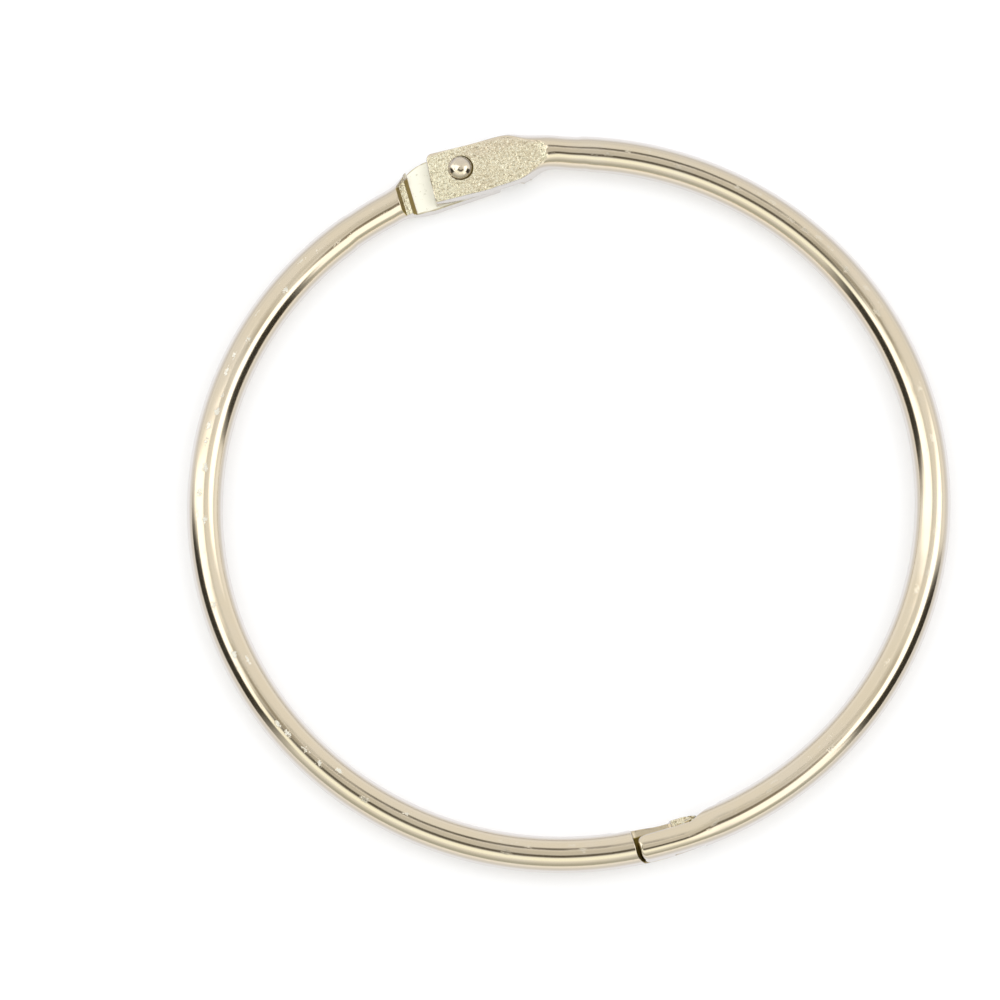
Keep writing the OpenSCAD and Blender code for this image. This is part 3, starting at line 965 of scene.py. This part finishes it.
class BINDER_OT_rivet(bpy.types.Operator):
    """Make the rivet, with its two domed heads"""
    bl_idname = "binder.rivet"
    bl_label = "Make rivet"
    bl_options = {"REGISTER", "UNDO"}

    def execute(self, context):
        scene = context.scene
        rivet = scene.ring_rivet
        seat_z = (scene.ring_lug.thickness - rivet.seat_depth) * MM
        upper = RIVET_TOP * MM - seat_z - rivet.height * MM
        r, z = rivet_profile(rivet, seat_z, upper)
        turn = 2 * np.pi * np.arange(RIVET_TURN) / RIVET_TURN
        offset = np.array(rivet.lean) * MM
        lean = np.outer(z > 0, offset) * (r > rivet.shank * MM / 2 - 0.01)[:, None]
        x = r[:, None] * np.cos(turn) + HINGE.x * MM + lean[:, :1]
        y = r[:, None] * np.sin(turn) + HINGE.y * MM + lean[:, 1:]
        points = np.stack([x, y, z[:, None] + 0 * x], -1).reshape(-1, 3)
        sphere = dome_radius(rivet)
        centre = np.array([HINGE.x * MM + offset[0], HINGE.y * MM + offset[1],
                           RIVET_TOP * MM - sphere])
        for turned, radius, rounding in (
                (rivet.first_turn, rivet.first_radius * MM, 0.03),
                (rivet.second_turn, rivet.second_radius * MM, 0.05)):
            flat_part, upright = math.sin(rivet.blow_tilt), math.cos(rivet.blow_tilt)
            blow = np.array([math.sin(turned) * flat_part, math.cos(turned) * flat_part, upright])
            points = strike(points, blow, centre, math.sqrt(sphere ** 2 - radius ** 2), rounding)
        index = np.arange(len(points)).reshape(len(r), RIVET_TURN)
        a, b = index[:-1], index[1:]
        faces = np.stack([a, b, np.roll(b, -1, 1), np.roll(a, -1, 1)], -1).reshape(-1, 4)
        piece = make_mesh("hinge_rivet_dressed", points / MM, faces)
        piece.data.materials.append(nickel("nickel_rivet", scene.ring_finish, False))
        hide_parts("hinge_rivet")
        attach(piece, "left_half")
        return {"FINISHED"}


def light_tent(world, roll):
    """Light tent round the ring, as a brightness for each direction: a pale wall, a duller
    front wall under a bright strip, soft side lamps above dark side openings, and a dark
    ceiling with two legs round the opening for the camera. The camera sees plain white
    instead, and metal and glass see that white too where it stands behind the floor's edge."""
    world.use_nodes = True
    n = Nodes(world.node_tree)
    direction = n.add("ShaderNodeTexCoord").outputs["Generated"]
    rolled = n.scaled(direction, (1, 1, 1), (0, 0, roll))
    leaned = n.scaled(rolled, (1, 1, 1), (math.radians(15), 0, 0))

    def polar(vector):
        """Azimuth and angle from the frame's Z axis, in degrees."""
        axes = n.axes(vector)
        return (n.times(n.math("ARCTAN2", axes["X"], axes["Y"]), 180 / math.pi),
                n.times(n.math("ARCCOSINE", axes["Z"]), 180 / math.pi))

    zenith, crown = polar(rolled), polar(leaned)

    def patch(about, az, half, soft_az, low, high, soft):
        """1 within a span of azimuth and of angle from an axis, smooth at its edges."""
        across = n.math("ABSOLUTE", n.math("WRAP", n.math("SUBTRACT", about[0], az), 180.0,
                                           -180.0))
        return n.times(n.step(half + soft_az, half - soft_az, across),
                       n.step(low - soft, low + soft, about[1]),
                       n.step(high + soft, high - soft, about[1]))

    white, warm, umber = (1.0, 1.0, 1.0), (1.0, 0.98, 0.94), (1.0, 0.93, 0.78)
    olive, russet = (0.965, 1.0, 0.93), (1.0, 0.85, 0.62)
    # axis, azimuth, half width, softness, low and high angle, softness; brightness and tint
    layers = (
        (patch(zenith, 0, 100, 15, 70, 96, 7), 1.03, white),            # lower back wall
        (patch(zenith, 180, 62, 16, 67, 106, 12), 0.47, olive),         # front wall
        (patch(zenith, 180, 76, 10, 33, 53, 5), 1.16, olive),           # strip above it
        (patch(zenith, 124, 24, 8, 30, 66, 6), 1.4, white),             # front side lamp
        (patch(crown, -97, 23, 5, 7, 66, 4), 1.7, white),               # side lamps
        (patch(zenith, 88, 28, 6, 26, 56, 4), 1.8, white),
        (patch(zenith, -97, 21, 6, 50, 101, 4), 0.04, umber),           # openings below them
        (patch(zenith, 103, 17, 4, 50, 101, 4), 0.04, umber),
        (patch(zenith, 188, 80, 12, 13.5, 29.5, 4), 0.10, umber),       # front of the ceiling
        (patch(zenith, 122, 12, 8, 17, 27, 3), 0.25, russet),
        (patch(zenith, 0, 181, 1, -9, 11.5, 4), 0.64, warm),            # round the camera
        (patch(crown, -122, 15, 5, 3, 24, 6), 0.30, umber),             # its legs
        (patch(crown, 119, 4, 3, 3, 30, 6), 0.35, umber),
        (patch(crown, 15, 22, 7, 0.5, 16, 3), 0.09, umber))
    level = (0.84, 0.84, 0.84)
    for mask, value, tint in layers:
        level = n.mix_color(mask, level, tuple(value * v for v in tint))
    path = n.add("ShaderNodeLightPath").outputs
    mirrored = n.math("MAXIMUM", path["Is Glossy Ray"], path["Is Transmission Ray"])
    horizon = n.times(mirrored, n.step(87.5, 90.0, zenith[1]))
    level = n.mix_color(n.math("MAXIMUM", path["Is Camera Ray"], horizon), level, white)
    background = n.add("ShaderNodeBackground", {"Color": level, "Strength": 1.0})
    n.add("ShaderNodeOutputWorld", {"Surface": background.outputs[0]})


def floor_material():
    """White card that keeps the ring's shadow. Where the camera, metal or glass sees it, a
    little of its own light lifts it to paper white."""
    material = bpy.data.materials.new("white_card")
    material.use_nodes = True
    n = Nodes(material.node_tree)
    card = n.add("ShaderNodeBsdfDiffuse", {"Color": (0.62, 0.62, 0.63, 1)}).outputs[0]
    glow = n.add("ShaderNodeEmission", {"Color": (1, 1, 1, 1), "Strength": 0.40}).outputs[0]
    lit = n.add("ShaderNodeAddShader", {0: card, 1: glow}).outputs[0]
    path = n.add("ShaderNodeLightPath").outputs
    seen = reduce(lambda a, b: n.math("MAXIMUM", a, b), (
        path["Is Camera Ray"], path["Is Glossy Ray"], path["Is Transmission Ray"]))
    surface = n.add("ShaderNodeMixShader", {0: seen, 1: card, 2: lit}).outputs[0]
    n.add("ShaderNodeOutputMaterial", {"Surface": surface})
    return material


class BINDER_OT_stage(bpy.types.Operator):
    """Make the floor, the light tent and the camera"""
    bl_idname = "binder.stage"
    bl_label = "Make stage"
    bl_options = {"REGISTER", "UNDO"}

    def execute(self, context):
        scene = context.scene
        studio = scene.ring_studio
        half, z = studio.floor_size / 2, CAD_BOX[0][2]
        mesh = bpy.data.meshes.new("floor")
        mesh.from_pydata([(-half, -half, z), (half, -half, z), (half, half, z),
                          (-half, half, z)], [], [(0, 1, 2, 3)])
        floor = bpy.data.objects.new("floor", mesh)
        scene.collection.objects.link(floor)
        mesh.materials.append(floor_material())

        scene.world = bpy.data.worlds.new("light_tent")
        light_tent(scene.world, studio.tilt[2])
        # a wide soft panel overhead, which the metal doesn't mirror
        panel = bpy.data.lights.new("soft_panel", "AREA")
        panel.size, panel.energy = studio.panel_size, studio.panel_power
        lamp = bpy.data.objects.new("soft_panel", panel)
        lamp.location = (0.0, 0.0, studio.panel_height)
        lamp.visible_glossy = lamp.visible_camera = lamp.visible_transmission = False
        scene.collection.objects.link(lamp)

        camera = bpy.data.objects.new("camera", bpy.data.cameras.new("camera"))
        scene.collection.objects.link(camera)
        turn = (Matrix.Rotation(studio.tilt[0], 3, "X") @ Matrix.Rotation(studio.tilt[1], 3, "Y")
                @ Matrix.Rotation(studio.tilt[2], 3, "Z"))
        back = turn.transposed()
        camera.matrix_world = (Matrix.Translation(back @ Vector(studio.aim))
                               @ back.to_4x4())
        camera.data.sensor_width = 36.0
        camera.data.lens = studio.lens
        camera.data.clip_start, camera.data.clip_end = 0.01, 10.0
        scene.camera = camera
        scene.view_settings.view_transform = "Standard"
        return {"FINISHED"}


class BINDER_PT_panel(bpy.types.Panel):
    """Lists the steps that build the ring"""
    bl_idname = "BINDER_PT_panel"
    bl_label = "Binder Ring"
    bl_space_type = "VIEW_3D"
    bl_region_type = "UI"
    bl_category = "Binder Ring"

    def draw(self, context):
        for step in STEPS:
            self.layout.operator(step.bl_idname, text=step.bl_label)


STEPS = (BINDER_OT_half_rings, BINDER_OT_rivet, BINDER_OT_stage)
GROUPS = {"ring_wire": WireSizes, "ring_lug": LugSizes, "ring_latch": LatchSizes,
          "ring_rivet": RivetSizes, "ring_finish": Finish, "ring_studio": Studio}


def register():
    """Registers the classes, and each group of properties on the scene."""
    for cls in (*GROUPS.values(), *STEPS, BINDER_PT_panel):
        bpy.utils.register_class(cls)
    for name, cls in GROUPS.items():
        setattr(bpy.types.Scene, name, PointerProperty(type=cls))


def unregister():
    """Takes back what register did."""
    for name in GROUPS:
        delattr(bpy.types.Scene, name)
    for cls in (BINDER_PT_panel, *reversed(STEPS), *reversed(list(GROUPS.values()))):
        bpy.utils.unregister_class(cls)


def main():
    """Registers the classes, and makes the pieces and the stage."""
    register()
    bpy.ops.binder.half_rings()
    bpy.ops.binder.rivet()
    bpy.ops.binder.stage()


if __name__ == "__main__":
    main()
